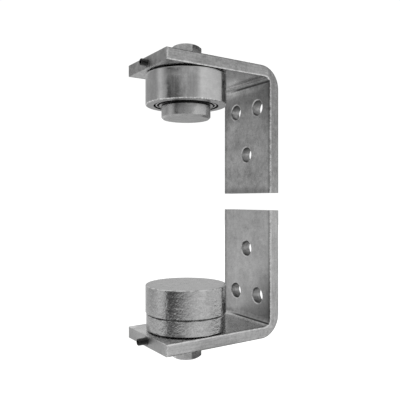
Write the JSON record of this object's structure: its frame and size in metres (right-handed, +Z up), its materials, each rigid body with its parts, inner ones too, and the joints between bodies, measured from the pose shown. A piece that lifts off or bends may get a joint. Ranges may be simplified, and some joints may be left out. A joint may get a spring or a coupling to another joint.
{
  "type": "ball bearing pivot hinge set",
  "caption": "Heavy door pivot hinge set: bent flat-bar brackets with threaded studs, a ball bearing above and a closed swivel cap on a thrust bearing below.",
  "frame": {"origin": "on the hinge axis at the seat on top of the lower half's swivel cap", "axes": "+Z up along the hinge axis, +X from the hinge axis to the jamb, Y across the flat bar"},
  "size_m": [0.126, 0.072, 0.276],
  "materials": {
    "zinc_bracket": "satin plated flat bar, finely mottled",
    "turned_steel": "turned, bright",
    "bearing_steel": "ground, smooth",
    "turned_cap": "turned, faintly pitted",
    "polished_ball": "polished",
    "cage_steel": "pressed sheet",
    "black_screw": "black oxide"
  },
  "bodies": {
    "frame": {"upper_bracket": "zinc_bracket", "upper_set_screw": "black_screw", "lower_bracket": "zinc_bracket", "lower_set_screw": "black_screw"},
    "upper_carrier": {"upper_inner_ring": "bearing_steel"},
    "upper_stud": {"upper_pivot_stud": "turned_steel"},
    "upper_ring": {"upper_outer_ring": "bearing_steel"},
    "upper_ball_set": {"upper_top_balls": "polished_ball", "upper_top_cage": "cage_steel", "upper_bottom_balls": "polished_ball", "upper_bottom_cage": "cage_steel"},
    "lower_carrier": {"lower_base_ring": "turned_cap", "thrust_lower_washer": "bearing_steel", "guide_inner_ring": "bearing_steel"},
    "lower_stud": {"lower_pivot_stud": "turned_steel"},
    "cap": {"swivel_cap": "turned_cap", "thrust_upper_washer": "bearing_steel", "guide_outer_ring": "bearing_steel"},
    "thrust_ball_set": {"thrust_cage": "cage_steel", "thrust_balls": "polished_ball"},
    "guide_ball_set": {"guide_cage": "cage_steel", "guide_balls": "polished_ball"}
  },
  "joints": [
    {"name": "upper_height", "type": "slide", "parent": "frame", "child": "upper_carrier", "axis": [0, 0, 1], "range_m": [-0.0045, 0.0006]},
    {"name": "upper_adjuster_turn", "type": "hinge", "parent": "upper_carrier", "child": "upper_stud", "pos_m": [0, 0, 0.1861], "axis": [0, 0, 1], "range_deg": [-1083, 147]},
    {"name": "upper_swing", "type": "hinge", "parent": "upper_carrier", "child": "upper_ring", "pos_m": [0, 0, 0.1582], "axis": [0, 0, 1], "continuous": true},
    {"name": "upper_balls_roll", "type": "hinge", "parent": "upper_carrier", "child": "upper_ball_set", "pos_m": [0, 0, 0.1582], "axis": [0, 0, 1], "continuous": true},
    {"name": "lower_height", "type": "slide", "parent": "frame", "child": "lower_carrier", "axis": [0, 0, 1], "range_m": [-0.0006, 0.0045]},
    {"name": "lower_adjuster_turn", "type": "hinge", "parent": "lower_carrier", "child": "lower_stud", "pos_m": [0, 0, -0.0399], "axis": [0, 0, 1], "range_deg": [-147, 1083]},
    {"name": "lower_swing", "type": "hinge", "parent": "lower_carrier", "child": "cap", "pos_m": [0, 0, -0.0245], "axis": [0, 0, 1], "continuous": true},
    {"name": "thrust_balls_roll", "type": "hinge", "parent": "lower_carrier", "child": "thrust_ball_set", "pos_m": [0, 0, -0.0325], "axis": [0, 0, 1], "continuous": true},
    {"name": "guide_balls_roll", "type": "hinge", "parent": "lower_carrier", "child": "guide_ball_set", "pos_m": [0, 0, -0.0164], "axis": [0, 0, 1], "continuous": true}
  ],
  "couplings": [
    {"joint": "upper_adjuster_turn", "follows": "upper_height", "rad_per_m": 4188.8},
    {"joint": "upper_balls_roll", "follows": "upper_swing", "ratio": 0.59452},
    {"joint": "lower_adjuster_turn", "follows": "lower_height", "rad_per_m": 4188.8},
    {"joint": "thrust_balls_roll", "follows": "lower_swing", "ratio": 0.5},
    {"joint": "guide_balls_roll", "follows": "lower_swing", "ratio": 0.58889}
  ]
}
